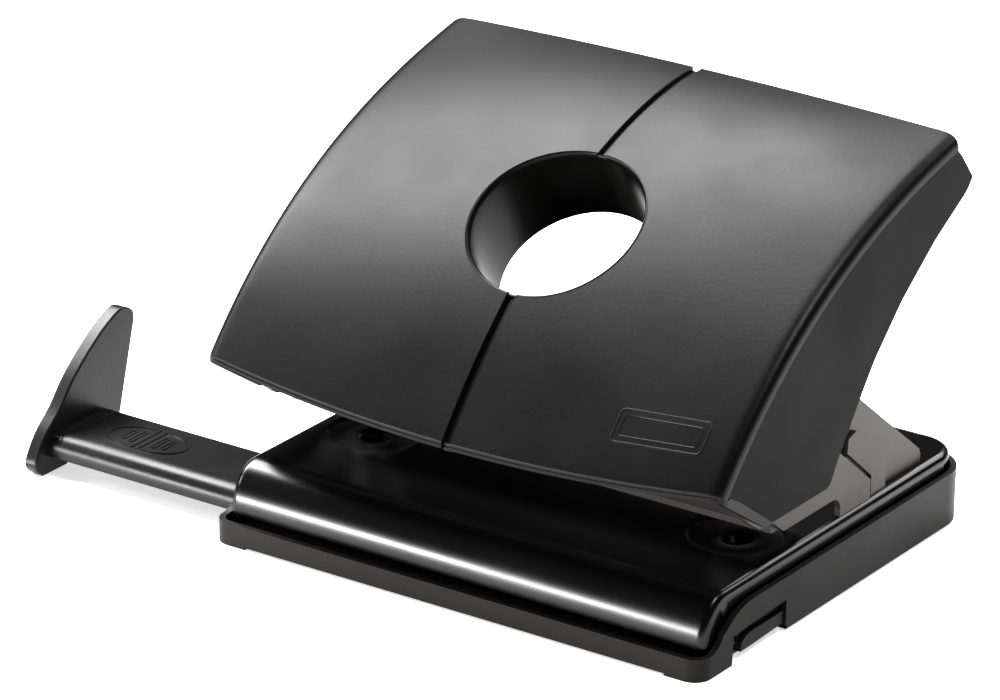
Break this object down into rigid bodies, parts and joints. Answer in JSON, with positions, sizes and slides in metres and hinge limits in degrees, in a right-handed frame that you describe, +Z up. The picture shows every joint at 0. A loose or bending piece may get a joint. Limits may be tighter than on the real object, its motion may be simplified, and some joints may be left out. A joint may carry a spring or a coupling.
{
  "type": "two-hole paper punch",
  "caption": "Desk punch with a broad curved lever handle over two spring-returned pins, a slotted paper throat, a side guide that slides out and a hinged chip tray below.",
  "frame": {"origin": "centre of the tray's footprint on the table", "axes": "+X right along the row of holes, +Y to the back of the punch, +Z up"},
  "size_m": [0.1558, 0.0992, 0.0825],
  "materials": {
    "deck_gloss": "gloss black lacquer on pressed steel",
    "frame_paint": "satin black paint",
    "cover_paint": "satin black moulding with a very fine grain",
    "sleeve_dark": "satin black moulding",
    "bright_steel": "plain zinc plated or hardened steel",
    "guide_plastic": "satin black moulding with raised outlines",
    "tray_plastic": "satin black moulding",
    "mat_rubber": "soft black rubber"
  },
  "bodies": {
    "base": {"base_plate": "deck_gloss", "die_left": "bright_steel", "die_right": "bright_steel", "head_frame": "frame_paint", "rear_bracket": "frame_paint", "gusset_left": "frame_paint", "gusset_right": "frame_paint", "paper_stop": "frame_paint", "deck_rivets": "bright_steel", "bracket_rivets": "frame_paint", "guide_bush_left": "bright_steel", "guide_bush_right": "bright_steel", "spring_left": "bright_steel", "spring_right": "bright_steel", "pivot_axle": "bright_steel", "axle_clips": "bright_steel", "guide_bracket": "frame_paint", "guide_spring": "bright_steel", "tray_hinge_pins": "bright_steel"},
    "handle": {"lever_frame": "frame_paint", "press_rod": "bright_steel", "handle_cover": "cover_paint", "hole_sleeve": "sleeve_dark", "cover_screws": "bright_steel"},
    "punch_l": {"punch_left": "bright_steel", "collar_left": "bright_steel"},
    "punch_r": {"punch_right": "bright_steel", "collar_right": "bright_steel"},
    "guide": {"guide_rail": "guide_plastic", "guide_stop": "bright_steel"},
    "tray": {"chip_tray": "tray_plastic", "base_mat": "mat_rubber", "catch_pin": "bright_steel"},
    "catch": {"tray_catch": "tray_plastic"}
  },
  "joints": [
    {"name": "handle_hinge", "type": "hinge", "parent": "base", "child": "handle", "pos_m": [0, -0.029, 0.0315], "axis": [1, 0, 0], "range_deg": [-30, 0], "stiffness_Nm_per_rad": 1.6, "springref_deg": 14.32, "deforming": ["spring_left", "spring_right"]},
    {"name": "punch_left_slide", "type": "slide", "parent": "base", "child": "punch_l", "axis": [0, 0, 1], "range_m": [-0.0076, 0]},
    {"name": "punch_right_slide", "type": "slide", "parent": "base", "child": "punch_r", "axis": [0, 0, 1], "range_m": [-0.0076, 0]},
    {"name": "guide_slide", "type": "slide", "parent": "base", "child": "guide", "axis": [1, 0, 0], "range_m": [-0.0165, 0.0405]},
    {"name": "tray_hinge", "type": "hinge", "parent": "base", "child": "tray", "pos_m": [0, 0.0454, 0.011], "axis": [1, 0, 0], "range_deg": [0, 50]},
    {"name": "catch_hinge", "type": "hinge", "parent": "tray", "child": "catch", "pos_m": [0.0513, -0.028, 0.0029], "axis": [0, -1, 0], "range_deg": [0, 8], "stiffness_Nm_per_rad": 0.03, "springref_deg": -11.46}
  ],
  "couplings": [
    {"joint": "punch_left_slide", "follows": "handle_hinge", "m_per_rad": 0.01421},
    {"joint": "punch_right_slide", "follows": "handle_hinge", "m_per_rad": 0.01421}
  ]
}
